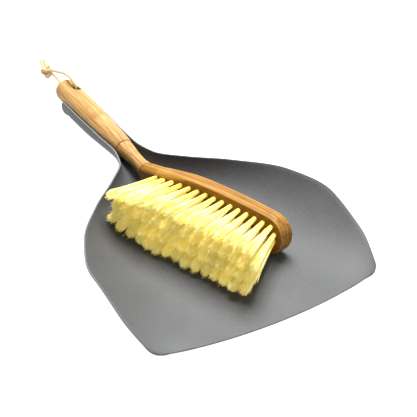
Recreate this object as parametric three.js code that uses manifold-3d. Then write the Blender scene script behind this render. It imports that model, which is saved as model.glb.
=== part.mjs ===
// Dust pan and brush set: a bent steel pan whose handle is an open channel, and a bamboo brush
// with natural bristles that lies in it. Millimetres: X across the pan, +Y from the lip to the
// handle, +Z up. The pan's underside is on Z = 0 and Y = 0 joins the lip's two corners until the
// last lines move the whole set to its own centre.
import * as THREE from "three";
import { mergeVertices } from "three/addons/utils/BufferGeometryUtils.js";
import Module from "manifold-3d";

const wasm = await Module();
wasm.setup();

// ---- driving dimensions -----------------------------------------------------------------------
const GAP = 0.3; // clearance between touching pieces

const SHEET = 1.5; // steel thickness
const PAN_LENGTH = 340;
const LIP_BULGE = 10.8; // how far the middle of the lip stands ahead of its corners
const LIP_REACH = 60; // the bulge has faded out this far back
const CORNER_RADIUS = 9;
const END_ROUNDING = 5; // of the channel's two end corners
const PRESS_FROM = 110; // the wide bowl starts to close into the channel here
const PRESS_TO = 235; // and is a U channel from here on
const FLAT_SHARE = 0.42; // share of the pan's width that is flat floor
const BOWL_POWER = 2.2; // how the sides rise from it

// The brush's centre line passes through this point and dips a little towards the block.
const AXIS_POINT = new THREE.Vector3(-0.3, 338, 21.2);
const AXIS_DIP = 0.0118; // radians
const AXIS_TURN = 0.009;
const BLOCK_ROLL = 0.12; // the block leans back from its bristles
const BLOCK_RISE = 3.5; // of its middle at the far end, above the handle's line
const BLOCK_DEEPER = 3.5; // how much further its lower side reaches at the far end
const END_SQUARENESS = 0.8; // 1 rounds the far end to a half circle, less makes it squarer
const SHOULDER_END = 9; // along the block
const SHOULDER_PULL = 6;
const SHOULDER_EDGE = 7; // its rounding where the shoulder ends
const EDGE_FULL = 40; // where along the block the rounding is down to the block's own
const GRIP_START = 244;
const NECK_START = 205.5;
const GRIP_END = 362;
const TENON_RADIUS = 3.4;
const TENON_LENGTH = 12;
const HOLE_RADIUS = 4; // hanging hole through the grip
const HOLE_TILT = 0.28; // radians from upright, towards +X

const BLOCK_THICKNESS = 14.8; // along the bristles
const BLOCK_HEIGHT = 31.6; // across the four rows
const BLOCK_EDGE = 3.6; // rounding of its long edges
const NECK_END_RADIUS = 6.8; // the block's round end, where the neck joins
// The block's centre line in plan, from level with the first tuft to its far end.
const BLOCK_CURVE = new THREE.QuadraticBezierCurve(
  new THREE.Vector2(-0.8, 183),
  new THREE.Vector2(25.8, 154),
  new THREE.Vector2(51.1, 55.8),
);

const TUFTS_PER_ROW = 15;
const TUFT_SPAN = 126; // first to last tuft along the block
const ROW_SPACING = 5.5;
const TUFT_REACH = 59; // in plan, of the top row
const ROW_REACH = 1.8; // and this much more for each row below it
const TUFT_SINK = 7; // how deep a tuft sits in its drilled hole
const TUFT_ROOT_RADIUS = 1.6;
const TUFT_TIP_RADIUS = 4.6;
const JOINED_TIP_RADIUS = 6.6; // tips in the third row run into each other
const TUFT_SIDES = 8;
const TIP_ROUND = 3;
const FACING_START = THREE.MathUtils.degToRad(-160.6); // the tufts fan out in plan
const FACING_END = THREE.MathUtils.degToRad(-141.5);
const TOP_TIP_HEIGHT = 42;
const LOW_TIP_HEIGHT = 7;
const WALL_CROWDING = 9; // how much the wall shortens the lowest tuft nearest the handle
const CROWDED_SPAN = 45; // along the block

const CORD_DIAMETER = 2.7;
const KNOT_RADIUS = 4.6;

// Half width and rim height of the pan's sheet, and the height of its floor, along its length.
const HALF_WIDTHS = [
  [0, 106], [41, 114.4], [85, 115], [129, 99], [170, 66], [197, 37], [221, 16.4], [245, 11.3], [272, 11.7],
  [305, 12.4], [340, 12.5],
];
const RIM_HEIGHTS = [
  [0, 1.3], [41, 18.5], [85, 28.8], [129, 31], [170, 28], [211, 24.9], [245, 23.6], [270, 22.2], [340, 21.4],
];
const FLOOR_HEIGHTS = [[0, SHEET / 2], [150, SHEET / 2], [190, 2.2], [221, 7], [245, 8.6], [270, 6.2], [300, 3], [340, 2]];

// ---- materials --------------------------------------------------------------------------------
const steel = new THREE.MeshStandardMaterial({ color: 0x8a8d8f, roughness: 0.6, metalness: 0.7 });
const bamboo = new THREE.MeshStandardMaterial({ color: 0xc89a5b, roughness: 0.55, metalness: 0 });
const bristle = new THREE.MeshStandardMaterial({ color: 0xe2d59a, roughness: 0.9, metalness: 0 });
const cotton = new THREE.MeshStandardMaterial({ color: 0xe9dfc4, roughness: 0.95, metalness: 0 });

// ---- small tools ------------------------------------------------------------------------------
const { lerp, smoothstep } = THREE.MathUtils;

// A smooth height through hand-set [position, value] pairs, without overshoot.
function along(pairs, at) {
  const last = pairs.length - 1;
  let i = 0;
  while (i < last - 1 && at > pairs[i + 1][0]) i++;
  const slope = (k) => {
    if (k === 0 || k === last) return 0;
    const before = (pairs[k][1] - pairs[k - 1][1]) / (pairs[k][0] - pairs[k - 1][0]);
    const after = (pairs[k + 1][1] - pairs[k][1]) / (pairs[k + 1][0] - pairs[k][0]);
    return before * after <= 0 ? 0 : (2 * before * after) / (before + after);
  };
  const startSlope = i === 0 ? (pairs[1][1] - pairs[0][1]) / (pairs[1][0] - pairs[0][0]) : slope(i);
  const width = pairs[i + 1][0] - pairs[i][0];
  const t = (at - pairs[i][0]) / width;
  return (
    pairs[i][1] * (2 * t ** 3 - 3 * t ** 2 + 1) +
    startSlope * width * (t ** 3 - 2 * t ** 2 + t) +
    pairs[i + 1][1] * (3 * t ** 2 - 2 * t ** 3) +
    slope(i + 1) * width * (t ** 3 - t ** 2)
  );
}

// A closed body skinned over rings of points; each ring has the same count, and both ends are flat.
function skin(rings) {
  const sides = rings[0].length;
  const corners = rings.flat().flatMap((p) => [p.x, p.y, p.z]);
  const faces = [];
  for (let r = 0; r + 1 < rings.length; r++) {
    for (let s = 0; s < sides; s++) {
      const a = r * sides + s;
      const b = r * sides + ((s + 1) % sides);
      faces.push(a, b, a + sides, b, b + sides, a + sides);
    }
  }
  // Each end is closed straight across, from one half of its ring to the other.
  const end = (rings.length - 1) * sides;
  for (let s = 0; s + 1 < sides / 2; s++) {
    const far = sides - 1 - s;
    faces.push(s, far, s + 1);
    faces.push(end + s, end + s + 1, end + far);
    if (far - 1 > s + 1) {
      faces.push(s + 1, far, far - 1);
      faces.push(end + s + 1, end + far - 1, end + far);
    }
  }
  const made = new THREE.BufferGeometry();
  made.setAttribute("position", new THREE.Float32BufferAttribute(corners, 3));
  made.setIndex(faces);
  return made;
}

function solid(geometry) {
  const plain = geometry.clone();
  plain.deleteAttribute("normal");
  plain.deleteAttribute("uv");
  const merged = mergeVertices(plain, 1e-3);
  return new wasm.Manifold(
    new wasm.Mesh({
      numProp: 3,
      vertProperties: merged.attributes.position.array,
      triVerts: new Uint32Array(merged.index.array),
    }),
  );
}

function geometryOf(body) {
  const mesh = body.getMesh();
  const made = new THREE.BufferGeometry();
  made.setAttribute("position", new THREE.BufferAttribute(mesh.vertProperties, 3));
  made.setIndex(new THREE.BufferAttribute(mesh.triVerts, 1));
  made.computeVertexNormals();
  return made;
}

// A turned body: the profile holds [radius, distance] pairs and stands on its local Y axis.
function turned(profile, sides) {
  return new THREE.LatheGeometry(profile.map(([r, y]) => new THREE.Vector2(r, y)), sides);
}

// ---- pan --------------------------------------------------------------------------------------
const PAN_COLUMNS = 20;
const PAN_ROW_STEP = 12;

// Middle of the sheet at position y, with t running from -1 at the left rim to 1 at the right.
function panPoint(t, y) {
  const corner = Math.max(0, CORNER_RADIUS - y);
  const inset = CORNER_RADIUS - Math.sqrt(CORNER_RADIUS ** 2 - corner ** 2);
  const half = along(HALF_WIDTHS, y) - inset;
  const floor = along(FLOOR_HEIGHTS, y);
  const fromEnd = Math.max(0, y - PAN_LENGTH + END_ROUNDING);
  const cut = END_ROUNDING - Math.sqrt(END_ROUNDING ** 2 - fromEnd ** 2);
  const depth = along(RIM_HEIGHTS, y) - cut - floor;
  const closing = smoothstep(y, PRESS_FROM, PRESS_TO);
  const turn = (Math.abs(t) * Math.PI) / 2;
  const out = lerp(Math.abs(t), Math.sin(turn), closing);
  const bowl = Math.max(0, (Math.abs(t) - FLAT_SHARE) / (1 - FLAT_SHARE));
  const up = lerp(bowl ** BOWL_POWER, 1 - Math.cos(turn), closing);
  const bulge = LIP_BULGE * (1 - t * t) * Math.max(0, 1 - y / LIP_REACH) ** 2;
  return new THREE.Vector3(Math.sign(t) * half * out, y - bulge, floor + depth * up);
}

function panNormal(t, y) {
  const step = 0.01;
  const across = panPoint(Math.min(1, t + step), y).sub(panPoint(Math.max(-1, t - step), y));
  const back = panPoint(t, Math.min(PAN_LENGTH, y + 1)).sub(panPoint(t, Math.max(0, y - 1)));
  return across.cross(back).normalize();
}

// Height of the sheet's upper face above the point (x, y).
function panTop(x, y) {
  let low = 0;
  let high = 1;
  for (let i = 0; i < 20; i++) {
    const mid = (low + high) / 2;
    if (panPoint(mid, y).x < Math.abs(x)) low = mid;
    else high = mid;
  }
  return panPoint(low, y).z + SHEET / 2 + (low > 0.6 ? 1 : 0);
}

function makePan() {
  const rows = [0, 0.7, 2.6, 5.4, CORNER_RADIUS];
  for (let y = 18; y < PAN_LENGTH - END_ROUNDING; y += PAN_ROW_STEP) rows.push(y);
  for (const share of [1, 0.6, 0.3, 0.1, 0]) rows.push(PAN_LENGTH - END_ROUNDING * share);
  // Each ring runs across the upper face and back under the lower one.
  return skin(
    rows.map((y) => {
      const upper = [];
      const lower = [];
      for (let c = 0; c <= PAN_COLUMNS; c++) {
        const t = (2 * c) / PAN_COLUMNS - 1;
        const middle = panPoint(t, y);
        const offset = panNormal(t, y).multiplyScalar(SHEET / 2);
        upper.push(middle.clone().add(offset));
        lower.unshift(middle.sub(offset));
      }
      return upper.concat(lower);
    }),
  );
}

// ---- brush handle -----------------------------------------------------------------------------
const TURNED_SIDES = 24;

// Lays a body turned about its local Y on the brush's centre line.
function onAxis(geometry) {
  const { x, y, z } = AXIS_POINT;
  return geometry.translate(0, -y, 0).rotateX(AXIS_DIP).rotateZ(AXIS_TURN).translate(x, y, z);
}

// Height of the centre line at y.
const axisHeight = (y) => AXIS_POINT.z + (y - AXIS_POINT.y) * AXIS_DIP;

function tenonHole(from, to) {
  const wide = TENON_RADIUS + GAP;
  return solid(onAxis(turned([[0, from], [wide, from], [wide, to], [0, to]], 12)));
}

function makeGrip() {
  const domeStart = GRIP_END - 9;
  const profile = [
    [0, GRIP_START], [8.5, GRIP_START], [9.3, 254], [10.1, 272], [10.7, 292], [11, 310], [11.1, 326],
    [11, 340], [10.6, domeStart],
  ];
  for (const turn of [0.45, 0.85, 1.2]) {
    profile.push([10.6 * Math.cos(turn), domeStart + 9 * Math.sin(turn)]);
  }
  profile.push([0, GRIP_END]);
  const hole = new THREE.CylinderGeometry(HOLE_RADIUS, HOLE_RADIUS, 60, 16)
    .rotateX(Math.PI / 2)
    .rotateY(HOLE_TILT)
    .translate(AXIS_POINT.x, AXIS_POINT.y, AXIS_POINT.z);
  return geometryOf(
    solid(onAxis(turned(profile, TURNED_SIDES)))
      .subtract(solid(hole))
      .subtract(tenonHole(GRIP_START - 1, GRIP_START + TENON_LENGTH + GAP)),
  );
}

function makeNeck() {
  const start = NECK_START + GAP;
  const end = GRIP_START - GAP;
  return onAxis(
    turned(
      [
        [0, start - TENON_LENGTH], [TENON_RADIUS, start - TENON_LENGTH], [TENON_RADIUS, start],
        [NECK_END_RADIUS, start], [5.9, 214], [6.2, 222], [7.3, 235], [7.8, end],
        [TENON_RADIUS, end], [TENON_RADIUS, end + TENON_LENGTH], [0, end + TENON_LENGTH],
      ],
      TURNED_SIDES,
    ),
  );
}

// ---- brush block ------------------------------------------------------------------------------
const BLOCK_LENGTH = BLOCK_CURVE.getLength();

// Plan position and heading of the block's centre line, s millimetres past the first tuft.
function blockLine(s) {
  const tangent = BLOCK_CURVE.getTangentAt(s / BLOCK_LENGTH);
  return { at: BLOCK_CURVE.getPointAt(s / BLOCK_LENGTH), heading: Math.atan2(tangent.y, tangent.x) };
}

// A point of the block beside its centre line: u away from the bristles, v up, both leaning with it.
const blockRise = (y) =>
  BLOCK_RISE * THREE.MathUtils.clamp((BLOCK_CURVE.v0.y - y) / (BLOCK_CURVE.v0.y - BLOCK_CURVE.v2.y), 0, 1);

function blockPoint(at, heading, u, v) {
  const across = u * Math.cos(BLOCK_ROLL) + v * Math.sin(BLOCK_ROLL);
  return new THREE.Vector3(
    at.x - Math.sin(heading) * across,
    at.y + Math.cos(heading) * across,
    axisHeight(at.y) + blockRise(at.y) + v * Math.cos(BLOCK_ROLL) - u * Math.sin(BLOCK_ROLL),
  );
}

// One cross-section: a rectangle with rounded corners.
function blockRing(at, heading, thick, high, edge, drop = 0) {
  const round = Math.min(edge, thick - 0.2, high - 0.2);
  const ring = [];
  for (let quarter = 0; quarter < 4; quarter++) {
    const right = quarter === 0 || quarter === 3 ? 1 : -1;
    const top = quarter < 2 ? 1 : -1;
    for (let i = 0; i <= 4; i++) {
      const turn = ((quarter + i / 4) * Math.PI) / 2;
      const u = right * (thick - round) + round * Math.cos(turn);
      const v = top * (high - round) + round * Math.sin(turn) - drop;
      ring.push(blockPoint(at, heading, u, v));
    }
  }
  return ring;
}

const NECK_END_X = AXIS_POINT.x + (AXIS_POINT.y - NECK_START) * AXIS_TURN;

function makeHead() {
  const rings = [];
  const joint = blockLine(SHOULDER_END);
  const ahead = new THREE.Vector2(Math.cos(joint.heading), Math.sin(joint.heading));
  const shoulder = new THREE.CubicBezierCurve(
    new THREE.Vector2(NECK_END_X, NECK_START),
    new THREE.Vector2(NECK_END_X, NECK_START - 11),
    joint.at.clone().addScaledVector(ahead, -SHOULDER_PULL),
    joint.at,
  );
  const half = BLOCK_THICKNESS / 2;
  const tall = BLOCK_HEIGHT / 2;
  const deeper = (s) => (BLOCK_DEEPER * s) / BLOCK_LENGTH / 2;
  for (let i = 0; i < 9; i++) {
    const t = i / 9;
    const tangent = shoulder.getTangent(t);
    rings.push(
      blockRing(
        shoulder.getPoint(t),
        Math.atan2(tangent.y, tangent.x),
        lerp(NECK_END_RADIUS, half, t),
        lerp(NECK_END_RADIUS, tall, Math.sin((t * Math.PI) / 2)),
        lerp(NECK_END_RADIUS, SHOULDER_EDGE, t),
        deeper(SHOULDER_END * t),
      ),
    );
  }
  const square = BLOCK_LENGTH - tall - deeper(BLOCK_LENGTH);
  for (let i = 0; i <= 9; i++) {
    const s = lerp(SHOULDER_END, square, i / 9);
    const { at, heading } = blockLine(s);
    const edge = lerp(SHOULDER_EDGE, BLOCK_EDGE, smoothstep(s, SHOULDER_END, EDGE_FULL));
    rings.push(blockRing(at, heading, half, tall + deeper(s), edge, deeper(s)));
  }
  // The far end is rounded, and softened at its last few millimetres.
  const end = tall + deeper(BLOCK_LENGTH);
  for (const turn of [0.3, 0.6, 0.88, 1.12, 1.32, 1.46]) {
    const { at, heading } = blockLine(square + end * Math.sin(turn));
    const soften = Math.max(0, turn - 1.1) * 5;
    const high = end * Math.cos(turn) ** END_SQUARENESS;
    rings.push(blockRing(at, heading, half - soften, high, BLOCK_EDGE, deeper(BLOCK_LENGTH)));
  }
  let body = solid(skin(rings)).subtract(
    tenonHole(NECK_START - TENON_LENGTH - GAP, NECK_START + 1),
  );
  for (const tuft of TUFTS) {
    const drill = new THREE.CylinderGeometry(1, 1, TUFT_SINK + 3, TUFT_SIDES).scale(
      TUFT_ROOT_RADIUS + GAP,
      1,
      TUFT_ROOT_RADIUS + GAP,
    );
    drill.translate(0, (3 - TUFT_SINK) / 2 - GAP, 0).applyMatrix4(tuft.place);
    body = body.subtract(solid(drill));
  }
  return geometryOf(body);
}

// ---- tufts ------------------------------------------------------------------------------------
// Every tuft: its row, place along the row, and the frame whose Y axis runs from root to tip.
function layTufts() {
  const laid = [];
  const pitch = TUFT_SPAN / (TUFTS_PER_ROW - 1);
  for (let row = 0; row < 4; row++) {
    const staggered = row === 1 || row === 2;
    for (let i = 0; i < TUFTS_PER_ROW; i++) {
      const s = pitch * (i + (staggered ? 0.5 : 0));
      const { at, heading } = blockLine(s);
      const facing = lerp(FACING_START, FACING_END, s / TUFT_SPAN);
      const root = blockPoint(at, heading, -BLOCK_THICKNESS / 2, ROW_SPACING * (1.5 - row));
      const crowded = (WALL_CROWDING * row * Math.max(0, 1 - s / CROWDED_SPAN)) / 3;
      const reach = TUFT_REACH + ROW_REACH * row - crowded;
      const tipX = root.x + reach * Math.cos(facing);
      const tipY = root.y + reach * Math.sin(facing);
      const rise = blockRise(at.y);
      const lowest = Math.max(LOW_TIP_HEIGHT + rise, panTop(tipX, tipY) + TUFT_TIP_RADIUS + 1);
      const bunch = (TOP_TIP_HEIGHT + rise - lowest) / 3;
      const tipZ = TOP_TIP_HEIGHT + rise - row * bunch;
      const tip = new THREE.Vector3(tipX, tipY, tipZ);
      const along = tip.clone().sub(root).normalize();
      const side = new THREE.Vector3().crossVectors(along, new THREE.Vector3(0, 0, 1)).normalize();
      const up = new THREE.Vector3().crossVectors(side, along);
      laid.push({
        row,
        name: "tuft_row_" + (row + 1) + "_" + String(i + 1).padStart(2, "0"),
        place: new THREE.Matrix4().makeBasis(side, along, up).setPosition(root),
        length: tip.distanceTo(root),
        tipHigh: Math.min(TUFT_TIP_RADIUS, bunch / 2 - 4 * GAP),
      });
    }
  }
  return laid;
}
const TUFTS = layTufts();

// A bundle of bristles: round and tight in its hole, spreading to a soft domed tip.
function makeTuft(tuft) {
  const wide = tuft.row === 2 ? JOINED_TIP_RADIUS : TUFT_TIP_RADIUS;
  const made = turned(
    [
      [0, -TUFT_SINK], [TUFT_ROOT_RADIUS, -TUFT_SINK], [TUFT_ROOT_RADIUS, 1],
      [wide, tuft.length - TIP_ROUND], [wide * 0.7, tuft.length], [0, tuft.length],
    ],
    TUFT_SIDES,
  );
  const corners = made.getAttribute("position");
  for (let i = 0; i < corners.count; i++) {
    const share = THREE.MathUtils.clamp(corners.getY(i) / (tuft.length - TIP_ROUND), 0, 1);
    corners.setZ(i, corners.getZ(i) * lerp(1, tuft.tipHigh / wide, share));
  }
  return made.applyMatrix4(tuft.place);
}

// ---- cord -------------------------------------------------------------------------------------
function tube(points, steps) {
  const path = new THREE.CatmullRomCurve3(points.map(([x, y, z]) => new THREE.Vector3(x, y, z)));
  const section = new THREE.Shape();
  section.absarc(0, 0, CORD_DIAMETER / 2, 0, 2 * Math.PI);
  return new THREE.ExtrudeGeometry(section, { extrudePath: path, steps, curveSegments: 4 });
}

const KNOT = [10.5, 417.5, KNOT_RADIUS + 0.6];

// From the knot over the grip's end, down through the hanging hole and back under to the knot.
const makeCordLoop = () =>
  tube(
    [
      [11.2, 411.9, 9], [9.4, 400, 15.5], [7, 385, 23], [4.6, 370, 30.5], [2.3, 357, 36], [1.2, 347, 38],
      [1.2, 341.2, 35.8], [1.6, 339, 30], [-0.1, 338.6, 21], [-2.9, 338.6, 12.5], [-2.6, 340.6, 8.4],
      [-0.8, 346, 7.3], [2.6, 356, 5.6], [7.6, 373, 3.6], [12, 390, 3], [14, 401, 3.6], [13.4, 410, 4.6],
      [12.6, 412.9, 5],
    ],
    76,
  );

function makeKnot() {
  return new THREE.SphereGeometry(KNOT_RADIUS, 12, 8).scale(1, 1.05, 0.95).translate(...KNOT);
}

const TAIL_OFFSET = 1.55;
const makeTail = (side) =>
  tube(
    [
      [12.4 + side * TAIL_OFFSET, 422.6 - side * 0.4, 3.6], [14 + side * TAIL_OFFSET, 429, 2.2],
      [16 + side * TAIL_OFFSET, 437, 1.6], [17.6 + side * TAIL_OFFSET, 443.5, 1.6],
    ],
    5,
  );

// ---- the set ----------------------------------------------------------------------------------
const set = new THREE.Group();
set.name = "dust_pan_and_brush_set";

function add(name, geometry, material) {
  geometry.computeVertexNormals();
  const mesh = new THREE.Mesh(geometry, material);
  mesh.name = name;
  set.add(mesh);
}

add("pan", makePan(), steel);
add("grip", makeGrip(), bamboo);
add("neck", makeNeck(), bamboo);
add("head", makeHead(), bamboo);
for (const tuft of TUFTS.filter(({ row }) => row !== 2)) {
  add(tuft.name, makeTuft(tuft), bristle);
}
const joinedRow = TUFTS.filter(({ row }) => row === 2).map((tuft) => solid(makeTuft(tuft)));
add("tuft_row_3", geometryOf(joinedRow.reduce((whole, tuft) => whole.add(tuft))), bristle);
add("cord_loop", makeCordLoop(), cotton);
add("cord_knot", makeKnot(), cotton);
add("cord_tail_a", makeTail(-1), cotton);
add("cord_tail_b", makeTail(1), cotton);

// The origin sits under the middle of the pan and brush together.
set.position.set(0, -(GRIP_END - LIP_BULGE) / 2, 0);

export default set;
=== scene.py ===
"""Dust pan and brush set: the looks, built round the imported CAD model. Metres, in the CAD's own frame."""

import math
import random

import bmesh
import bpy
from mathutils import Matrix, Vector


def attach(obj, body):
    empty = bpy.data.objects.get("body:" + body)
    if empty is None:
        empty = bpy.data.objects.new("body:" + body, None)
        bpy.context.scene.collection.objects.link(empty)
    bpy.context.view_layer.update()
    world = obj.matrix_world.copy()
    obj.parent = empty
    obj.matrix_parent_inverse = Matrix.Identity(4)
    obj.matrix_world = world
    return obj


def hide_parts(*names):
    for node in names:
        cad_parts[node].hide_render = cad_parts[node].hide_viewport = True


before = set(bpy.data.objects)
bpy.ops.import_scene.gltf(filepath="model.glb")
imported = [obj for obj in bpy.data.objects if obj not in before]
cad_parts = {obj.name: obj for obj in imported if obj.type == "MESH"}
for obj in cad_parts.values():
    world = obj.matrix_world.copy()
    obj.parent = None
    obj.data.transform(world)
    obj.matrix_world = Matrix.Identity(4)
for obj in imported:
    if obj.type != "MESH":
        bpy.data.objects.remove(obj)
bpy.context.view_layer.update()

MM = 0.001
# The set without its cord is centred on the origin; lengths below count from the pan's lip corners.
GRIP_END = 362
LIP_BULGE = 10.8
SHIFT_Y = -(GRIP_END - LIP_BULGE) / 2


def at(x, y, z):
    """A point given in millimetres from the lip, as metres in the model's frame."""
    return Vector((x * MM, (y + SHIFT_Y) * MM, z * MM))


def lerp(a, b, t):
    return a + (b - a) * t


def smoothstep(x, low, high):
    t = min(1, max(0, (x - low) / (high - low)))
    return t * t * (3 - 2 * t)


# ---- camera -----------------------------------------------------------------------------------
CAMERA_AZIMUTH = math.radians(-30.875)
CAMERA_ELEVATION = math.radians(36)
CAMERA_DISTANCE = 1.5
CAMERA_TARGET = at(17.91, 126.87, 20)
SENSOR_WIDTH = 36
LENS_LENGTH = 152.69
FAR_CLIP = 20


def make_camera():
    """A long lens, looking down at the set from its front left."""
    back = Vector(
        (
            math.sin(CAMERA_AZIMUTH) * math.cos(CAMERA_ELEVATION),
            -math.cos(CAMERA_AZIMUTH) * math.cos(CAMERA_ELEVATION),
            math.sin(CAMERA_ELEVATION),
        )
    )
    data = bpy.data.cameras.new("camera")
    data.sensor_width = SENSOR_WIDTH
    data.lens = LENS_LENGTH
    data.clip_end = FAR_CLIP
    camera = bpy.data.objects.new("camera", data)
    camera.location = CAMERA_TARGET + back * CAMERA_DISTANCE
    camera.rotation_euler = (-back).to_track_quat("-Z", "Y").to_euler()
    bpy.context.scene.collection.objects.link(camera)
    bpy.context.scene.camera = camera


make_camera()


# ---- material tools ---------------------------------------------------------------------------
class Nodes:
    """A short way to write a node material."""

    def __init__(self, name):
        self.material = bpy.data.materials.new(name)
        self.material.use_nodes = True
        self.tree = self.material.node_tree
        self.shader = self.tree.nodes["Principled BSDF"]

    def add(self, kind, inputs=None, **settings):
        node = self.tree.nodes.new(kind)
        for key, value in settings.items():
            setattr(node, key, value)
        for key, value in (inputs or {}).items():
            self.put(node.inputs[key], value)
        return node

    def put(self, socket, value):
        if isinstance(value, bpy.types.NodeSocket):
            self.tree.links.new(value, socket)
        else:
            socket.default_value = value

    def set(self, **inputs):
        for key, value in inputs.items():
            self.put(self.shader.inputs[key.replace("_", " ")], value)

    def attribute(self, name):
        return self.add("ShaderNodeAttribute", attribute_name=name)

    def stretched(self, vector, scale):
        return self.add("ShaderNodeMapping", {"Vector": vector, "Scale": scale}).outputs["Vector"]

    def noise(self, vector, scale, detail=3, roughness=0.5, distortion=0):
        inputs = {"Vector": vector, "Scale": scale, "Detail": detail}
        inputs |= {"Roughness": roughness, "Distortion": distortion}
        return self.add("ShaderNodeTexNoise", inputs).outputs["Fac"]

    def ramp(self, factor, stops):
        node = self.add("ShaderNodeValToRGB", {"Fac": factor})
        elements = node.color_ramp.elements
        while len(elements) < len(stops):
            elements.new(0.5)
        for element, (position, colour) in zip(elements, stops):
            element.position = position
            element.color = (*colour, 1)
        return node.outputs["Color"]

    def mix(self, factor, a, b, blend="MIX"):
        node = self.add("ShaderNodeMix", data_type="RGBA", blend_type=blend)
        for index, value in ((0, factor), (6, a), (7, b)):
            if isinstance(value, tuple) and len(value) == 3:
                value = (*value, 1)
            self.put(node.inputs[index], value)
        return node.outputs[2]

    def math(self, operation, a, b=0.0, clamp=False):
        node = self.add("ShaderNodeMath", operation=operation, use_clamp=clamp)
        self.put(node.inputs[0], a)
        self.put(node.inputs[1], b)
        return node.outputs[0]

    def vector_math(self, operation, *vectors):
        return self.add("ShaderNodeVectorMath", dict(enumerate(vectors)), operation=operation)

    def remap(self, value, low, high, new_low, new_high):
        inputs = {"Value": value, "From Min": low, "From Max": high, "To Min": new_low, "To Max": new_high}
        return self.add("ShaderNodeMapRange", inputs).outputs["Result"]

    def shade(self, colour, factor):
        """The colour made darker or lighter by a factor."""
        grey = self.add("ShaderNodeCombineColor", {"Red": factor, "Green": factor, "Blue": factor})
        return self.mix(1.0, colour, grey.outputs["Color"], "MULTIPLY")

    def spot(self, vector, centre, size):
        """1 at a centre given in millimetres, fading to 0 at its size in each direction."""
        away = self.vector_math("SUBTRACT", vector, tuple(c * MM for c in centre))
        scaled = self.vector_math("DIVIDE", away.outputs["Vector"], tuple(c * MM for c in size))
        length = self.vector_math("LENGTH", scaled.outputs["Vector"])
        return self.remap(length.outputs["Value"], 0.2, 1, 1, 0)

    def bump(self, height, strength, distance):
        inputs = {"Height": height, "Strength": strength, "Distance": distance}
        return self.add("ShaderNodeBump", inputs).outputs["Normal"]


def srgb(r, g, b):
    """A colour given as 0 to 255 screen values, as linear light."""
    return tuple(((c / 255 + 0.055) / 1.055) ** 2.4 if c > 10 else c / 255 / 12.92 for c in (r, g, b))


# ---- materials --------------------------------------------------------------------------------
def coated_steel():
    """Dark grey powder coat: a fine even grain, slightly cloudy, with a painted highlight along its rim
    edges.
    """
    m = Nodes("coated_steel")
    place = m.add("ShaderNodeTexCoord").outputs["Object"]
    grain = m.noise(place, 950, detail=4, roughness=0.75)
    cloud = m.noise(place, 22, detail=3)
    base = m.mix(m.remap(cloud, 0.3, 0.7, 0, 1), srgb(67, 68, 69), srgb(73, 73, 74))
    base = m.shade(base, m.remap(grain, 0.3, 0.7, 0.66, 1.34))
    # The rim points get a painted pale bluish highlight.
    rim = m.attribute("rim").outputs["Fac"]
    base = m.mix(m.math("MULTIPLY", rim, 0.35), base, srgb(136, 142, 152))
    m.set(Base_Color=base, Metallic=0.0, IOR=1.45, Specular_IOR_Level=0.25)
    m.set(Roughness=m.remap(grain, 0.3, 0.7, 0.46, 0.62))
    m.set(Normal=m.bump(grain, 0.3, 0.00015))
    return m.material


def bamboo(name, pale, mid, dark, marks, layers=()):
    """Bamboo: fibres along the grain's second axis, dark lines at its layers and stains at its marks."""
    m = Nodes(name)
    place = m.attribute("grain").outputs["Vector"]
    vessels = m.noise(m.stretched(place, (1, 0.05, 1)), 1300, detail=2, roughness=0.6)
    fibres = m.noise(m.stretched(place, (1, 0.025, 1)), 520, detail=5, roughness=0.7)
    strips = m.noise(m.stretched(place, (1, 0.02, 1)), 150, detail=2, distortion=0.2)
    flame = m.noise(m.stretched(place, (1, 0.22, 1)), 130, detail=4, roughness=0.6, distortion=1.2)
    colour = m.ramp(fibres, [(0.33, dark), (0.47, mid), (0.62, pale)])
    colour = m.mix(m.remap(strips, 0.42, 0.62, 0, 0.55), colour, pale)
    colour = m.mix(m.remap(flame, 0.52, 0.68, 0, 0.4), colour, dark)
    colour = m.shade(colour, m.remap(vessels, 0.3, 0.62, 0.78, 1.06))
    across = m.add("ShaderNodeSeparateXYZ", {"Vector": place}).outputs["X"]
    for where, wide, strength in layers:
        away = m.math("ABSOLUTE", m.math("SUBTRACT", across, where * MM))
        line = m.remap(away, 0, wide * MM, strength, 0)
        colour = m.mix(line, colour, dark)
    for centre, size, strength in marks:
        speckle = m.noise(m.stretched(place, (1, 0.4, 1)), 700, detail=3)
        darkness = m.remap(speckle, 0.35, 0.65, 0.2, strength)
        spot = m.math("MULTIPLY", m.spot(place, centre, size), darkness, clamp=True)
        colour = m.mix(spot, colour, srgb(120, 66, 24))
    # A painted highlight along the bristle face's edges.
    colour = m.mix(m.math("MULTIPLY", m.attribute("painted_edge_highlight").outputs["Fac"], 0.75), colour, pale)
    # Painted shade darkens the flat bristle face, standing in for the shade between the tuft roots.
    colour = m.mix(m.math("MULTIPLY", m.attribute("painted_face_shade").outputs["Fac"], 0.45), colour, dark)
    m.set(Base_Color=colour, Roughness=m.remap(fibres, 0.3, 0.7, 0.4, 0.6), IOR=1.48)
    m.set(Specular_IOR_Level=0.22)
    m.set(Normal=m.bump(fibres, 0.35, 0.0002))
    return m.material


# A faint glow stands for the light that passes through the thin filaments.
THROUGH_GLOW = 0.15


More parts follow.
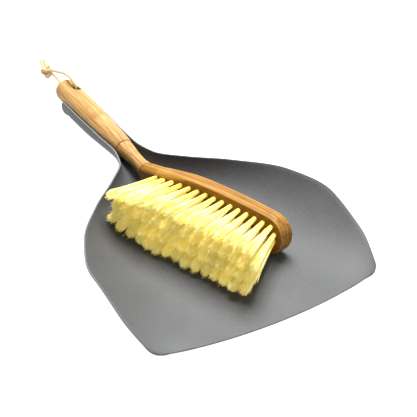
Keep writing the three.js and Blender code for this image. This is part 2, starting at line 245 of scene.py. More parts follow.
def bristle_fibre():
    """Lemon filaments, each a little different: golden at the root, with a deeper band of painted shade
    before a pale end.
    """
    m = Nodes("bristle_fibre")
    split = m.add("ShaderNodeSeparateColor", {"Color": m.attribute("fibre").outputs["Color"]})
    along_it, own, tuft = (split.outputs[key] for key in ("Red", "Green", "Blue"))
    place = m.add("ShaderNodeTexCoord").outputs["Object"]
    speckle = m.noise(place, 700, detail=2)
    colour = m.ramp(
        along_it,
        [
            (0.0, srgb(252, 226, 88)),
            (0.3, srgb(255, 243, 140)),
            (0.7, srgb(255, 251, 186)),
            # A deeper golden band near the tips: painted shade for the shaded tip face.
            (0.86, srgb(255, 240, 126)),
            (1.0, srgb(255, 248, 166)),
        ],
    )
    colour = m.mix(m.remap(own, 0.55, 1, 0, 0.65), colour, srgb(224, 178, 48))
    colour = m.mix(m.remap(own, 0.35, 0, 0, 0.6), colour, srgb(255, 252, 214))
    colour = m.shade(colour, m.remap(tuft, 0, 1, 0.8, 1.02))
    m.set(Base_Color=colour, Roughness=m.remap(speckle, 0.3, 0.7, 0.32, 0.5), IOR=1.5)
    m.set(Emission_Color=colour, Emission_Strength=THROUGH_GLOW)
    m.set(Normal=m.bump(speckle, 0.2, 0.0001))
    return m.material


def cotton_cord():
    """Natural cotton with a fine fuzz, with painted shade in the grooves between its strands."""
    m = Nodes("cotton_cord")
    place = m.add("ShaderNodeTexCoord").outputs["Object"]
    fuzz = m.noise(place, 2200, detail=3, roughness=0.7)
    painted_groove_shade = m.attribute("groove").outputs["Fac"]
    colour = m.mix(m.remap(fuzz, 0.3, 0.7, 0, 1), srgb(166, 138, 94), srgb(196, 174, 134))
    # Painted shade darkens the grooves between the strands.
    colour = m.mix(m.math("MULTIPLY", painted_groove_shade, 0.75, clamp=True), colour, srgb(134, 98, 52))
    m.set(Base_Color=colour, Roughness=m.remap(fuzz, 0.3, 0.7, 0.8, 0.95), Sheen_Weight=0.2)
    m.set(Normal=m.bump(fuzz, 0.5, 0.0002))
    return m.material


STEEL = coated_steel()
GRIP_BAMBOO = bamboo(
    "grip_bamboo",
    srgb(176, 140, 88),
    srgb(151, 111, 60),
    srgb(100, 64, 28),
    marks=[((-2, 291, 9), (9, 6, 9), 0.6), ((-8, 262, 4), (5, 14, 6), 0.35), ((2, 226, 5), (8, 5, 8), 0.4)],
)
BLOCK_BAMBOO = bamboo(
    "block_bamboo",
    srgb(158, 117, 48),
    srgb(132, 91, 28),
    srgb(84, 48, 12),
    marks=[((-4, 20, 13), (7, 9, 10), 1.1), ((-3, 118, 16), (6, 5, 8), 0.7), ((3, 62, 16), (3, 12, 3), 0.4)],
    layers=[(-4.4, 0.9, 0.5), (-1.0, 1.1, 0.7), (2.8, 1.0, 0.6), (5.6, 0.8, 0.45)],
)
BRISTLE = bristle_fibre()
COTTON = cotton_cord()


# ---- mesh tools -------------------------------------------------------------------------------
def piece(name, points, faces, material, body, attributes=None, smooth=True):
    """A mesh object of the model, with a value for each point if it has attributes, that rides on a body."""
    mesh = bpy.data.meshes.new(name)
    mesh.from_pydata([tuple(p) for p in points], [], faces)
    for key, (kind, values) in (attributes or {}).items():
        field = mesh.attributes.new(key, kind, "POINT")
        prop = {"FLOAT": "value", "FLOAT_VECTOR": "vector", "FLOAT_COLOR": "color"}[kind]
        flat = values if kind == "FLOAT" else [c for value in values for c in value]
        field.data.foreach_set(prop, flat)
    mesh.materials.append(material)
    for polygon in mesh.polygons:
        polygon.use_smooth = smooth
    mesh.update()
    made = bpy.data.objects.new(name, mesh)
    bpy.context.scene.collection.objects.link(made)
    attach(made, body)
    return made


def ring_faces(rings, sides, closed_ends=True, first=0):
    """Quads between consecutive rings, with a flat face on each end."""
    faces = []
    for r in range(rings - 1):
        for s in range(sides):
            a = first + r * sides + s
            b = first + r * sides + (s + 1) % sides
            faces.append((a, b, b + sides, a + sides))
    if closed_ends:
        faces.append(tuple(reversed(range(first, first + sides))))
        last = first + (rings - 1) * sides
        faces.append(tuple(range(last, last + sides)))
    return faces


def spline(points, step):
    """Points on a smooth curve through the given ones, about a step apart."""
    points = [Vector(p) for p in points]
    fine = []
    padded = [points[0] * 2 - points[1], *points, points[-1] * 2 - points[-2]]
    for i in range(1, len(padded) - 2):
        a, b, c, d = padded[i - 1 : i + 3]
        # Centripetal spacing keeps tight corners from looping.
        k = [0]
        for p, q in ((a, b), (b, c), (c, d)):
            k.append(k[-1] + max(1e-9, (q - p).length) ** 0.5)
        count = max(2, math.ceil((c - b).length / step))
        for j in range(count):
            t = lerp(k[1], k[2], j / count)
            ab = a * ((k[1] - t) / (k[1] - k[0])) + b * ((t - k[0]) / (k[1] - k[0]))
            bc = b * ((k[2] - t) / (k[2] - k[1])) + c * ((t - k[1]) / (k[2] - k[1]))
            cd = c * ((k[3] - t) / (k[3] - k[2])) + d * ((t - k[2]) / (k[3] - k[2]))
            abc = ab * ((k[2] - t) / (k[2] - k[0])) + bc * ((t - k[0]) / (k[2] - k[0]))
            bcd = bc * ((k[3] - t) / (k[3] - k[1])) + cd * ((t - k[1]) / (k[3] - k[1]))
            fine.append(abc * ((k[2] - t) / (k[2] - k[1])) + bcd * ((t - k[1]) / (k[2] - k[1])))
    fine.append(points[-1])
    return fine


# ---- cord -------------------------------------------------------------------------------------
CORD_DIAMETER = 2.7 * MM
CORD_STRANDS = 3
CORD_SIDES = 18
CORD_STEP = 0.7 * MM
TWIST_PITCH = 7 * MM
# The twist makes the surface dip between strands, so a tube is drawn a little wider than its cord.
CORD_FULLNESS = 1.1
STRAND_VALLEY = 0.84
STRAND_SWELL = 0.2
STRAND_ROUNDNESS = 0.7
# The last two rings of a frayed end: the cut fibres flare, then close.
FRAY_FLARE = 1.12
FRAY_TIP = 0.9

KNOT_CENTRE = at(10.5, 417.5, 5.2)
KNOT_STEPS = 90
KNOT_SIZE = 1.7 * MM
KNOT_STRETCH = 1.05
KNOT_HEIGHT = 1.9
KNOT_FULLNESS = 1.3

# The middle of the grip's hole, and the point in the knot that both cords run through.
HOLE_MIDDLE = (-0.1, 338.6, 21)
KNOT_MIDDLE = (10.9, 417.2, 5.4)
TAIL_OFFSET = 1.55
OVER_ROUTE = [
    HOLE_MIDDLE, (1.6, 339, 30), (1.2, 341.2, 35.8), (1.2, 347, 38), (2.3, 357, 36), (4.6, 370, 30.5),
    (7, 385, 23), (9.4, 400, 15.5), (11.2, 411.9, 9), KNOT_MIDDLE,
]
UNDER_ROUTE = [
    HOLE_MIDDLE, (-2.9, 338.6, 12.5), (-2.6, 340.6, 8.4), (-0.8, 346, 7.3), (2.6, 356, 5.6), (7.6, 373, 3.6),
    (12, 390, 3), (14, 401, 3.6), (13.4, 410, 4.6), (12.6, 412.9, 5), KNOT_MIDDLE,
]


def tail_route(side):
    """The way one tail lies beyond the knot, beside the other."""
    return [
        (12.4 + side * TAIL_OFFSET, 422.6 - side * 0.4, 3.6), (14 + side * TAIL_OFFSET, 429, 2.2),
        (16 + side * TAIL_OFFSET, 437, 1.6), (17.6 + side * TAIL_OFFSET, 443.5, 1.6),
    ]


def twisted_tube(path, width, frayed=False):
    """Points, faces and groove depth of a cord of twisted strands along a path."""
    points, groove = [], []
    normal = None
    run = 0.0
    for i, p in enumerate(path):
        before, after = path[max(0, i - 1)], path[min(len(path) - 1, i + 1)]
        tangent = (after - before).normalized()
        if normal is None:
            normal = tangent.orthogonal().normalized()
        else:
            normal = (normal - tangent * normal.dot(tangent)).normalized()
        if i:
            run += (p - path[i - 1]).length
        side = tangent.cross(normal)
        turn = 2 * math.pi * run / TWIST_PITCH
        for s in range(CORD_SIDES):
            angle = 2 * math.pi * s / CORD_SIDES
            lobe = abs(math.cos(CORD_STRANDS * (angle - turn) / 2))
            radius = width / 2 * (STRAND_VALLEY + STRAND_SWELL * lobe**STRAND_ROUNDNESS)
            if frayed and i >= len(path) - 2:
                radius *= FRAY_FLARE if i == len(path) - 2 else FRAY_TIP
            points.append(p + (normal * math.cos(angle) + side * math.sin(angle)) * radius)
            groove.append((1 - lobe) ** 2)
    return points, ring_faces(len(path), CORD_SIDES), groove


def make_cord(name, route, tail, replaced):
    """One strand of the hanging loop with its tail, from the middle of the grip's hole to its frayed end."""
    path = spline([at(*p) for p in route + tail], CORD_STEP)
    points, faces, groove = twisted_tube(path, CORD_DIAMETER * CORD_FULLNESS, frayed=True)
    made = piece(name, points, faces, COTTON, "hang_loop", {"groove": ("FLOAT", groove)})
    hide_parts(*replaced)


def make_knot():
    """An overhand knot drawn tight: one strand wound through itself as a trefoil."""
    path = []
    for i in range(KNOT_STEPS + 1):
        t = 2 * math.pi * i / KNOT_STEPS
        x = (math.sin(t) + 2 * math.sin(2 * t)) * KNOT_SIZE
        y = (math.cos(t) - 2 * math.cos(2 * t)) * KNOT_SIZE * KNOT_STRETCH
        z = -math.sin(3 * t) * KNOT_SIZE * KNOT_HEIGHT
        path.append(KNOT_CENTRE + Vector((x, y, z)))
    points, faces, groove = twisted_tube(path, CORD_DIAMETER * KNOT_FULLNESS)
    attributes = {"groove": ("FLOAT", groove)}
    made = piece("cord_knot_wound", points, faces, COTTON, "hang_loop", attributes)
    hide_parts("cord_knot")
    return made


KNOT = make_knot()
make_cord("cord_over", OVER_ROUTE, tail_route(-1), ["cord_loop", "cord_tail_a"])
make_cord("cord_under", UNDER_ROUTE, tail_route(1), ["cord_tail_b"])


# ---- pan --------------------------------------------------------------------------------------
SHEET = 1.5
PAN_LENGTH = 340
LIP_REACH = 60
CORNER_RADIUS = 9
END_ROUNDING = 5
PRESS_FROM = 110
PRESS_TO = 235
FLAT_SHARE = 0.42
BOWL_POWER = 2.2
PAN_COLUMNS = 72
CORNER_ROWS = 8
STRAIGHT_ROWS = 110
RIM_ARC = [math.radians(a) for a in (60, 20, -20, -60)]
RIM_OVERHANG = 0.3
HALF_WIDTHS = [
    (0, 106), (41, 114.4), (85, 115), (129, 99), (170, 66), (197, 37), (221, 16.4), (245, 11.3),
    (272, 11.7), (305, 12.4), (340, 12.5),
]
RIM_HEIGHTS = [
    (0, 1.3), (41, 18.5), (85, 28.8), (129, 31), (170, 28), (211, 24.9), (245, 23.6), (270, 22.2),
    (340, 21.4),
]
FLOOR_HEIGHTS = [
    (0, SHEET / 2), (150, SHEET / 2), (190, 2.2), (221, 7), (245, 8.6), (270, 6.2), (300, 3),
    (340, 2),
]


def along(pairs, place):
    """A smooth value through given (position, value) pairs, without overshoot."""
    last = len(pairs) - 1
    i = 0
    while i < last - 1 and place > pairs[i + 1][0]:
        i += 1

    def secant(k):
        return (pairs[k + 1][1] - pairs[k][1]) / (pairs[k + 1][0] - pairs[k][0])

    def slope(k):
        if k in (0, last):
            return 0
        before, after = secant(k - 1), secant(k)
        return 0 if before * after <= 0 else 2 * before * after / (before + after)

    start = secant(0) if i == 0 else slope(i)
    width = pairs[i + 1][0] - pairs[i][0]
    t = (place - pairs[i][0]) / width
    return (
        pairs[i][1] * (2 * t**3 - 3 * t**2 + 1)
        + start * width * (t**3 - 2 * t**2 + t)
        + pairs[i + 1][1] * (3 * t**2 - 2 * t**3)
        + slope(i + 1) * width * (t**3 - t**2)
    )


def pan_point(t, y):
    """Middle of the sheet at y, with t from -1 at the left rim to 1 at the right, in millimetres."""
    corner = max(0, CORNER_RADIUS - y)
    inset = CORNER_RADIUS - math.sqrt(CORNER_RADIUS**2 - corner**2)
    half = along(HALF_WIDTHS, y) - inset
    floor = along(FLOOR_HEIGHTS, y)
    from_end = max(0, y - PAN_LENGTH + END_ROUNDING)
    cut_down = END_ROUNDING - math.sqrt(max(0, END_ROUNDING**2 - from_end**2))
    depth = along(RIM_HEIGHTS, y) - cut_down - floor
    closing = smoothstep(y, PRESS_FROM, PRESS_TO)
    turn = abs(t) * math.pi / 2
    bowl = max(0, (abs(t) - FLAT_SHARE) / (1 - FLAT_SHARE))
    out = lerp(abs(t), math.sin(turn), closing)
    up = lerp(bowl**BOWL_POWER, 1 - math.cos(turn), closing)
    bulge = LIP_BULGE * (1 - t * t) * max(0, 1 - y / LIP_REACH) ** 2
    return Vector((math.copysign(half * out, t), y - bulge, floor + depth * up))


def pan_normal(t, y):
    step = 0.01
    across = pan_point(min(1, t + step), y) - pan_point(max(-1, t - step), y)
    back = pan_point(t, min(PAN_LENGTH, y + 1)) - pan_point(t, max(0, y - 1))
    return across.cross(back).normalized()


def make_pan():
    """The sheet as one skin: each ring runs across the upper face, round the rounded rim and back below."""
    quarter = [math.pi / 2 * i / CORNER_ROWS for i in range(CORNER_ROWS + 1)]
    straight = PAN_LENGTH - CORNER_RADIUS - END_ROUNDING
    rows = [CORNER_RADIUS * (1 - math.cos(turn)) for turn in quarter]
    rows += [CORNER_RADIUS + straight * i / STRAIGHT_ROWS for i in range(1, STRAIGHT_ROWS + 1)]
    rows += [PAN_LENGTH - END_ROUNDING * (1 - math.sin(turn)) for turn in quarter[1:]]
    places = [2 * c / PAN_COLUMNS - 1 for c in range(PAN_COLUMNS + 1)]
    points, rim = [], []
    for y in rows:
        ring = []
        edge_row = y in (rows[0], rows[-1])
        middles = [(pan_point(t, y), pan_normal(t, y)) for t in places]
        for middle, normal in middles:
            ring.append((middle + normal * SHEET / 2, 0))
        for (end, normal), inner in ((middles[-1], middles[-2][0]), (middles[0], middles[1][0])):
            outward = (end - inner).normalized()
            arc = [
                (end + outward * math.cos(a) * SHEET * RIM_OVERHANG + normal * math.sin(a) * SHEET / 2, 1)
                for a in RIM_ARC
            ]
            if end is middles[-1][0]:
                ring += arc
                ring += [(m - n * SHEET / 2, 0) for m, n in reversed(middles)]
            else:
                ring += reversed(arc)
        points += [at(*p) for p, _ in ring]
        # Rim points, and the whole lip and end rows, are marked for the steel's painted highlight.
        rim += [1.0 if edge_row else float(flag) for _, flag in ring]
    sides = len(points) // len(rows)
    faces = ring_faces(len(rows), sides, closed_ends=False)
    # The lip and the channel's end are closed by strips between the upper and lower faces.
    arc_count = len(RIM_ARC)
    around = range(PAN_COLUMNS + 1 + arc_count)
    for row, flip in ((0, False), (len(rows) - 1, True)):
        first = row * sides
        upper = [first + (sides - arc_count // 2 + i) % sides for i in around]
        lower = [first + (sides - arc_count // 2 - 1 - i) % sides for i in around]
        for i in range(len(upper) - 1):
            quad = (upper[i], upper[i + 1], lower[i + 1], lower[i])
            faces.append(quad if flip else tuple(reversed(quad)))
    made = piece("pan_sheet", points, faces, STEEL, "pan", {"rim": ("FLOAT", rim)})
    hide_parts("pan")


make_pan()


# ---- brush handle -----------------------------------------------------------------------------
# The neck stops this far short of the block and of the grip.
GAP = 0.3
AXIS_POINT = Vector((-0.3, 338, 21.2))
AXIS_DIP = 0.0118
AXIS_TURN = 0.009
GRIP_START = 244
NECK_START = 205.5
HOLE_RADIUS = 4
HOLE_TILT = 0.28
NECK_END_RADIUS = 6.8
TURNED_SIDES = 72
TURNED_STEP = 1.5
PROFILE_STEP = 2.0
DOME_RADIUS = 10.6
DOME_LENGTH = 9
DOME_STEPS = 13
DOME_FULLNESS = 0.8
# How far from the axis a profile may stop, where a tiny flat face closes it.
AXIS_HOLE = 0.05
DRILL_SIDES = 48
DRILL_DEPTH = 60


def axis_height(y):
    """Height of the brush's centre line at y, in millimetres."""
    return AXIS_POINT.z + (y - AXIS_POINT.y) * AXIS_DIP


ON_AXIS = (
    Matrix.Translation(AXIS_POINT)
    @ Matrix.Rotation(AXIS_TURN, 4, "Z")
    @ Matrix.Rotation(AXIS_DIP, 4, "X")
    @ Matrix.Translation((0, -AXIS_POINT.y, 0))
)


def turned(name, profile):
    """A turned piece on the brush's centre line; the profile holds (radius, distance) pairs."""
    fine = [profile[0]]
    for (r0, y0), (r1, y1) in zip(profile, profile[1:]):
        count = max(1, math.ceil(math.hypot(r1 - r0, y1 - y0) / TURNED_STEP))
        fine += [(lerp(r0, r1, i / count), lerp(y0, y1, i / count)) for i in range(1, count + 1)]
    points = []
    for radius, y in fine:
        for s in range(TURNED_SIDES):
            angle = 2 * math.pi * s / TURNED_SIDES
            local = Vector((radius * math.cos(angle), y, radius * math.sin(angle)))
            points.append(at(*(ON_AXIS @ local)))
    faces = [tuple(reversed(f)) for f in ring_faces(len(fine), TURNED_SIDES)]
    return piece(name, points, faces, GRIP_BAMBOO, "brush")


def set_grain(target):
    """Gives a turned piece its grain coordinates: metres from the lip along the centre line."""
    back = ON_AXIS.inverted()
    field = target.data.attributes.new("grain", "FLOAT_VECTOR", "POINT")
    shift = Vector((0, SHIFT_Y, 0))
    for vertex, value in zip(target.data.vertices, field.data):
        value.vector = (back @ (vertex.co / MM - shift)) * MM


def smooth_profile(pairs):
    """The same smooth curve as the pan's, through (distance, radius) pairs, as (radius, distance)."""
    start, end = pairs[0][0], pairs[-1][0]
    count = math.ceil((end - start) / PROFILE_STEP)
    return [(along(pairs, y), y) for y in (lerp(start, end, i / count) for i in range(count + 1))]


def drill(target, radius, depth, place):
    """Cuts a round hole along the local Z of place."""
    mesh = bpy.data.meshes.new("drill")
    tool = bmesh.new()
    size = {"radius1": radius * MM, "radius2": radius * MM, "depth": depth * MM}
    bmesh.ops.create_cone(tool, cap_ends=True, segments=DRILL_SIDES, matrix=place, **size)
    tool.to_mesh(mesh)
    tool.free()
    cutter = bpy.data.objects.new("drill", mesh)
    bpy.context.scene.collection.objects.link(cutter)
    cut(target, cutter)


def cut(target, cutter):
    """Takes the cutter out of the target and removes it."""
    modifier = target.modifiers.new("cut", "BOOLEAN")
    modifier.operation = "DIFFERENCE"
    modifier.solver = "EXACT"
    modifier.object = cutter
    bpy.context.view_layer.update()
    done = bpy.data.meshes.new_from_object(target.evaluated_get(bpy.context.evaluated_depsgraph_get()))
    target.modifiers.clear()
    target.data = done
    bpy.data.objects.remove(cutter)


def make_grip():
    """The grip: a slow swell with a domed end, bored across for the cord."""
    dome_start = GRIP_END - DOME_LENGTH
    profile = [(0, GRIP_START + 0.1), (8.3, GRIP_START + 0.1), (8.5, GRIP_START + 0.3)]
    swell = [(254, 9.3), (272, 10.1), (292, 10.7), (310, 11), (326, 11.1), (340, 11)]
    profile += smooth_profile([(GRIP_START + 0.8, 8.6), *swell, (dome_start, DOME_RADIUS)])
    for i in range(1, DOME_STEPS):
        angle = math.pi / 2 * i / DOME_STEPS
        radius = DOME_RADIUS * math.cos(angle) ** DOME_FULLNESS
        profile.append((radius, dome_start + DOME_LENGTH * math.sin(angle)))
    profile.append((AXIS_HOLE, GRIP_END))
    grip = turned("grip_turned", profile)
    place = Matrix.Translation(at(*AXIS_POINT)) @ Matrix.Rotation(HOLE_TILT, 4, "Y")
    drill(grip, HOLE_RADIUS, DRILL_DEPTH, place)
    set_grain(grip)
    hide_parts("grip")


def make_neck():
    """The waisted neck between the block and the grip."""
    start, end = NECK_START + GAP, GRIP_START - GAP
    waist = [(214, 5.9), (222, 6.2), (235, 7.3)]
    profile = [(AXIS_HOLE, start), (NECK_END_RADIUS - 0.4, start), (NECK_END_RADIUS, start + 0.5)]
    profile += smooth_profile([(start + 0.8, NECK_END_RADIUS), *waist, (end - 0.5, 7.95)])
    profile += [(7.9, end - 0.2), (7.7, end), (AXIS_HOLE, end)]
    neck = turned("neck_turned", profile)
    set_grain(neck)
    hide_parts("neck")


make_grip()
make_neck()


# ---- brush block ------------------------------------------------------------------------------
BLOCK_THICKNESS = 14.8
BLOCK_HEIGHT = 31.6
BLOCK_EDGE = 3.6
BLOCK_ROLL = 0.12
BLOCK_RISE = 3.5
BLOCK_DEEPER = 3.5
END_SQUARENESS = 0.8
SHOULDER_END = 9
SHOULDER_PULL = 6
SHOULDER_EDGE = 7
SHOULDER_LEAD = 11
SHOULDER_GRAIN = 30
EDGE_FULL = 40
FACE_EDGE = 1.6
CORNER_STEPS = 8
SMALLEST_EDGE = 0.05
# The block's end against the neck is eased over a short chamfer.
JOINT_CHAMFER = 0.5
JOINT_EASED = 0.94
# Near its tip the rounded far end also softens across its thickness, from this turn on.
SOFTEN_FROM = 1.1
SOFTEN_DEPTH = 2.4
CURVE_SAMPLES = 400
SHOULDER_STEPS = 28
LENGTH_STEPS = 64
END_STEPS = 26
BLOCK_CURVE = [Vector((-0.8, 183)), Vector((25.8, 154)), Vector((51.1, 55.8))]


def sample_block():
    """The block's centre line as (arc length, point, heading) samples."""
    a, b, c = BLOCK_CURVE
    samples = []
    run = 0.0
    for i in range(CURVE_SAMPLES + 1):
        t = i / CURVE_SAMPLES
        p = a * (1 - t) ** 2 + b * 2 * t * (1 - t) + c * t * t
        d = (b - a) * (1 - t) + (c - b) * t
        if samples:
            run += (p - samples[-1][1]).length
        samples.append((run, p, math.atan2(d.y, d.x)))
    return samples


BLOCK_SAMPLES = sample_block()
BLOCK_LENGTH = BLOCK_SAMPLES[-1][0]


def block_line(s):
    """The point and heading at a length along the block's centre line."""
    low, high = 0, len(BLOCK_SAMPLES) - 1
    while high - low > 1:
        mid = (low + high) // 2
        if BLOCK_SAMPLES[mid][0] <= s:
            low = mid
        else:
            high = mid
    (s0, p0, h0), (s1, p1, h1) = BLOCK_SAMPLES[low], BLOCK_SAMPLES[high]
    t = (s - s0) / (s1 - s0)
    return p0.lerp(p1, t), lerp(h0, h1, t)


def block_rise(y):
    """How far the block has risen above the handle's centre line at y."""
    near, far = BLOCK_CURVE[0].y, BLOCK_CURVE[2].y
    return BLOCK_RISE * min(1, max(0, (near - y) / (near - far)))


def block_point(place, heading, u, v):
    """A point beside the centre line: u away from the bristles, v up, both leaning with the block."""
    across = u * math.cos(BLOCK_ROLL) + v * math.sin(BLOCK_ROLL)
    height = axis_height(place.y) + block_rise(place.y) + v * math.cos(BLOCK_ROLL) - u * math.sin(BLOCK_ROLL)
    return Vector((place.x - math.sin(heading) * across, place.y + math.cos(heading) * across, height))


def block_section(thick, high, edge, drop):
    """Outline of a cross-section as (u, v): rounded corners, crisper where the bristle face starts."""
    outline = []
    for quarter in range(4):
        right = 1 if quarter in (0, 3) else -1
        top = 1 if quarter < 2 else -1
        crisp = min(1, (SHOULDER_EDGE - edge) / (SHOULDER_EDGE - BLOCK_EDGE))
        wanted = edge if right > 0 else edge - (BLOCK_EDGE - FACE_EDGE) * crisp
        round_by = max(SMALLEST_EDGE, min(wanted, thick - SMALLEST_EDGE, high - SMALLEST_EDGE))
        for i in range(CORNER_STEPS + 1):
            turn = (quarter + i / CORNER_STEPS) * math.pi / 2
            u = right * (thick - round_by) + round_by * math.cos(turn)
            v = top * (high - round_by) + round_by * math.sin(turn) - drop
            outline.append((u, v))
    return outline


def deeper(s):
    """Half of what the block has gained in depth, which is also how far its middle has dropped."""
    return BLOCK_DEEPER * s / BLOCK_LENGTH / 2


def shoulder_sections():
    """The cross-sections that lead from the round neck, along a cubic curve, to the block's own line."""
    half, tall = BLOCK_THICKNESS / 2, BLOCK_HEIGHT / 2
    neck_x = AXIS_POINT.x + (AXIS_POINT.y - NECK_START) * AXIS_TURN
    joint, heading = block_line(SHOULDER_END)
    ahead = Vector((math.cos(heading), math.sin(heading)))
    a, b = Vector((neck_x, NECK_START)), Vector((neck_x, NECK_START - SHOULDER_LEAD))
    c, d = joint - ahead * SHOULDER_PULL, joint
    sections = []
    for i in range(SHOULDER_STEPS):
        t = i / SHOULDER_STEPS
        place = a * (1 - t) ** 3 + b * 3 * t * (1 - t) ** 2 + c * 3 * t * t * (1 - t) + d * t**3
        tangent = (b - a) * (1 - t) ** 2 + (c - b) * 2 * t * (1 - t) + (d - c) * t * t
        heading = math.atan2(tangent.y, tangent.x)
        outline = block_section(
            lerp(NECK_END_RADIUS, half, t),
            lerp(NECK_END_RADIUS, tall, math.sin(math.pi / 2 * t)),
            lerp(NECK_END_RADIUS, SHOULDER_EDGE, t),
            deeper(SHOULDER_END * t),
        )
        if i == 0:
            eased = [(u * JOINT_EASED, v * JOINT_EASED) for u, v in outline]
            sections.append((place, heading, eased, SHOULDER_END - SHOULDER_GRAIN))
            place = place + Vector((0, -JOINT_CHAMFER))
        sections.append((place, heading, outline, SHOULDER_END - SHOULDER_GRAIN * (1 - t)))
    return sections


def head_sections():
    """The block's cross-sections from the neck to the far end: place, heading, outline and grain length."""
    half, tall = BLOCK_THICKNESS / 2, BLOCK_HEIGHT / 2
    sections = shoulder_sections()
    square = BLOCK_LENGTH - tall - deeper(BLOCK_LENGTH)
    for i in range(LENGTH_STEPS + 1):
        s = lerp(SHOULDER_END, square, i / LENGTH_STEPS)
        place, heading = block_line(s)
        edge = lerp(SHOULDER_EDGE, BLOCK_EDGE, smoothstep(s, SHOULDER_END, EDGE_FULL))
        sections.append((place, heading, block_section(half, tall + deeper(s), edge, deeper(s)), s))
    end = tall + deeper(BLOCK_LENGTH)
    for i in range(1, END_STEPS):
        turn = math.pi / 2 * i / END_STEPS
        s = square + end * math.sin(turn)
        place, heading = block_line(s)
        near_tip = max(0, (turn - SOFTEN_FROM) / (math.pi / 2 - SOFTEN_FROM))
        soften = SOFTEN_DEPTH * (1 - math.sqrt(max(0, 1 - near_tip**2)))
        high = end * math.cos(turn) ** END_SQUARENESS
        outline = block_section(half - soften, high, BLOCK_EDGE, deeper(BLOCK_LENGTH))
        sections.append((place, heading, outline, s))
    return sections


def make_head():
    """The block as one skin, with a painted highlight on the edges of its bristle face and painted shade on
    that face.
    """
    points, grain, painted_edge_highlight, painted_face_shade = [], [], [], []
    sections = head_sections()
    corner = CORNER_STEPS + 1
    for place, heading, outline, s in sections:
        for index, (u, v) in enumerate(outline):
            points.append(at(*block_point(place, heading, u, v)))
            grain.append((u * MM, s * MM, v * MM))
            # The two corners beside the bristle face carry the painted highlight, strongest mid-corner.
            on_edge = corner <= index < 3 * corner and s > 0
            painted_edge_highlight.append(math.sin(math.pi * (index % corner) / CORNER_STEPS) if on_edge else 0.0)
            # The flat bristle face between those corners is marked for painted shade.
            painted_face_shade.append(1.0 if index in (2 * corner - 1, 2 * corner) else 0.0)
    faces = ring_faces(len(sections), 4 * corner)
    attributes = {
        "grain": ("FLOAT_VECTOR", grain),
        "painted_edge_highlight": ("FLOAT", painted_edge_highlight),
        "painted_face_shade": ("FLOAT", painted_face_shade),
    }
    head = piece("head_block", points, faces, BLOCK_BAMBOO, "brush", attributes)
    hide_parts("head")


make_head()


# ---- tufts ------------------------------------------------------------------------------------
ROWS = 4
STAGGERED_ROWS = (1, 2)
# The CAD joins this row into one solid, so its filaments are one piece too.
JOINED_ROW = 2
TUFTS_PER_ROW = 15
TUFT_SPAN = 126
ROW_SPACING = 5.5
TUFT_REACH = 59
ROW_REACH = 1.8
TUFT_ROOT_RADIUS = 1.6
TUFT_TIP_RADIUS = 4.6
FACING_START = math.radians(-160.6)
FACING_END = math.radians(-141.5)
TOP_TIP_HEIGHT = 42
LOW_TIP_HEIGHT = 7
WALL_CROWDING = 9
CROWDED_SPAN = 45
TIP_SPREAD = 4.2
TIP_FILL = 0.41
TIP_DOME = 2.3
TIP_OVERFILL = 1.08
SPREAD_POWER = 1.5
FLICK_POWER = 8
ROOT_SUNK = 4
EXTRA_LENGTH = 0.4
SEED = 11
FILAMENTS = 240
FILAMENT_SIDES = 3
FILAMENT_STEPS = 6
FILAMENT_RADIUS = 0.24
TIP_TAPER = 0.5
STEPS_TO_TIP = 0.8
WILD_SHARE = 0.03
GOLDEN_ANGLE = 2.399963
# How far things scatter about their usual value, as standard deviations.
CUT_SCATTER = 0.16
TUFT_SCATTER = 0.8
SHARE_SCATTER = 0.08
ANGLE_SCATTER = 0.15
LENGTH_SCATTER = 1.1
BOW_SCATTER = 0.35
FLICK_SCATTER = 0.45
# The few wild filaments bend, spread and reach further by these factors.
WILD_LOOSE = 3.0
WILD_SPREAD = 1.3
WILD_REACH = 1.6
# The lowest tips clear the sheet by a margin, and by more past the share of its width where it climbs.
TIP_MARGIN = 1
STEEP_SHARE = 0.6
STEEP_MARGIN = 1


def pan_top(x, y):
    """Height of the sheet's upper face at the point (x, y), in millimetres, and more on its steep sides."""
    low, high = 0.0, 1.0
    for _ in range(20):
        mid = (low + high) / 2
        if pan_point(mid, y).x < abs(x):
            low = mid
        else:
            high = mid
    return pan_point(low, y).z + SHEET / 2 + (STEEP_MARGIN if low > STEEP_SHARE else 0)


def lay_tufts():
    """Every tuft's row, number, root and tip, as in the CAD, and how far its filaments rise at the tip."""
    tufts = []
    pitch = TUFT_SPAN / (TUFTS_PER_ROW - 1)
    for row in range(ROWS):
        for i in range(TUFTS_PER_ROW):
            s = pitch * (i + (0.5 if row in STAGGERED_ROWS else 0))
            place, heading = block_line(s)
            facing = lerp(FACING_START, FACING_END, s / TUFT_SPAN)
            root = block_point(place, heading, -BLOCK_THICKNESS / 2, ROW_SPACING * ((ROWS - 1) / 2 - row))
            crowded = WALL_CROWDING * row * max(0, 1 - s / CROWDED_SPAN) / (ROWS - 1)
            reach = TUFT_REACH + ROW_REACH * row - crowded
            tip_x = root.x + reach * math.cos(facing)
            tip_y = root.y + reach * math.sin(facing)
            rise = block_rise(place.y)
            lowest = max(LOW_TIP_HEIGHT + rise, pan_top(tip_x, tip_y) + TUFT_TIP_RADIUS + TIP_MARGIN)
            bunch = (TOP_TIP_HEIGHT + rise - lowest) / (ROWS - 1)
            tip = Vector((tip_x, tip_y, TOP_TIP_HEIGHT + rise - row * bunch))
            tufts.append((row, i, root, tip, bunch * TIP_FILL))
    return tufts


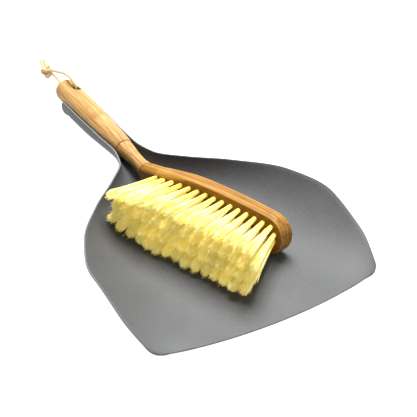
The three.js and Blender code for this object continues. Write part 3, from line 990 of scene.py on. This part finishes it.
def fill_tuft(root, tip, tip_high, rng, points, faces, fibre):
    """One tuft's filaments: packed and straight at the root, spread and frayed at the domed tip."""
    axis = (tip - root).normalized()
    side = axis.cross(Vector((0, 0, 1))).normalized()
    up = side.cross(axis)
    length = (tip - root).length
    tone = rng.random()
    cut_slope = Vector((rng.gauss(0, CUT_SCATTER), rng.gauss(0, CUT_SCATTER)))
    length += rng.gauss(0, TUFT_SCATTER)
    for n in range(FILAMENTS):
        # A sunflower spread fills the round root evenly; the tip follows it with some disorder.
        share = math.sqrt((n + 0.5) / FILAMENTS)
        angle = n * GOLDEN_ANGLE
        own = rng.random()
        tip_share = share * TIP_OVERFILL + rng.gauss(0, SHARE_SCATTER)
        tip_angle = angle + rng.gauss(0, ANGLE_SCATTER)
        wild = rng.random() < WILD_SHARE
        loose = WILD_LOOSE if wild else 1.0
        wider = WILD_SPREAD if wild else 1
        tip_x = TIP_SPREAD * tip_share * math.cos(tip_angle) * wider
        tip_z = tip_high * tip_share * math.sin(tip_angle) * wider
        extra = rng.gauss(EXTRA_LENGTH, LENGTH_SCATTER) * (WILD_REACH if wild else 1)
        reach = length + extra + tip_x * cut_slope.x + tip_z * cut_slope.y
        reach -= TIP_DOME * tip_share**3
        bow = rng.gauss(0, BOW_SCATTER) * loose
        bow_angle = rng.random() * 2 * math.pi
        flick_x, flick_z = rng.gauss(0, FLICK_SCATTER) * loose, rng.gauss(0, FLICK_SCATTER) * loose
        first = len(points)
        for k in range(FILAMENT_STEPS):
            t = (k / (FILAMENT_STEPS - 1)) ** STEPS_TO_TIP
            spread = t**SPREAD_POWER
            bend = math.sin(math.pi * t) * bow * t
            x = lerp(TUFT_ROOT_RADIUS * share * math.cos(angle), tip_x, spread)
            z = lerp(TUFT_ROOT_RADIUS * share * math.sin(angle), tip_z, spread)
            x += bend * math.cos(bow_angle) + flick_x * t**FLICK_POWER
            z += bend * math.sin(bow_angle) + flick_z * t**FLICK_POWER
            centre = root + axis * (reach * t - ROOT_SUNK * (1 - t)) + side * x + up * z
            width = FILAMENT_RADIUS if t < 1 else FILAMENT_RADIUS * TIP_TAPER
            for s in range(FILAMENT_SIDES):
                turn = 2 * math.pi * s / FILAMENT_SIDES + angle
                points.append(at(*(centre + (side * math.cos(turn) + up * math.sin(turn)) * width)))
                fibre.append((t, own, tone, 1.0))
        faces += ring_faces(FILAMENT_STEPS, FILAMENT_SIDES, first=first)


def make_tufts():
    """All the tufts, each its own piece, but for the joined row."""
    rng = random.Random(SEED)
    joined = ([], [], [])
    for row, i, root, tip, tip_high in lay_tufts():
        data = joined if row == JOINED_ROW else ([], [], [])
        fill_tuft(root, tip, tip_high, rng, *data)
        if row != JOINED_ROW:
            finish_tuft("tuft_row_%d_%02d" % (row + 1, i + 1), data)
    finish_tuft("tuft_row_%d" % (JOINED_ROW + 1), joined)


def finish_tuft(node, data):
    """Makes a piece of filaments, which stands in for one CAD node."""
    points, faces, fibre = data
    attributes = {"fibre": ("FLOAT_COLOR", fibre)}
    made = piece("bristles_" + node, points, faces, BRISTLE, "brush", attributes, smooth=False)
    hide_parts(node)


make_tufts()


# ---- stage ------------------------------------------------------------------------------------
FLOOR_HALF = 4.0
FLOOR_HEIGHT = -0.0002
# The floor shines just enough to stay pure white under the object's shadow.
FLOOR_GLOW = 1.02
WORLD_STRENGTH = 0.3


def make_floor():
    """A wide white floor, which is no part of the object."""
    m = Nodes("floor")
    m.set(Base_Color=(0.3, 0.3, 0.3, 1), Roughness=0.9)
    m.set(Emission_Color=(1, 1, 1, 1), Emission_Strength=FLOOR_GLOW)
    mesh = bpy.data.meshes.new("floor")
    corners = [(x * FLOOR_HALF, y * FLOOR_HALF, 0) for x, y in ((-1, -1), (1, -1), (1, 1), (-1, 1))]
    mesh.from_pydata(corners, [], [(0, 1, 2, 3)])
    mesh.materials.append(m.material)
    floor = bpy.data.objects.new("floor", mesh)
    floor.location.z = FLOOR_HEIGHT
    bpy.context.scene.collection.objects.link(floor)


def make_light(name, place, size, power):
    """A square lamp that faces the middle of the object."""
    data = bpy.data.lights.new(name, "AREA")
    data.size = size
    data.energy = power
    lamp = bpy.data.objects.new(name, data)
    lamp.location = place
    lamp.rotation_euler = (-Vector(place)).to_track_quat("-Z", "Y").to_euler()
    bpy.context.scene.collection.objects.link(lamp)


def make_world():
    """A soft white light from all round."""
    world = bpy.data.worlds.new("world")
    world.use_nodes = True
    background = world.node_tree.nodes["Background"]
    background.inputs["Color"].default_value = (1, 1, 1, 1)
    background.inputs["Strength"].default_value = WORLD_STRENGTH
    bpy.context.scene.world = world


make_floor()
make_light("overhead", place=(0.34, 0.38, 1.28), size=0.9, power=69)
make_light("front", place=(-0.3, -1.2, 1.1), size=0.8, power=2.5)
make_light("right", place=(1.0, -0.9, 0.9), size=0.8, power=6)
make_world()
bpy.context.scene.view_settings.view_transform = "Standard"
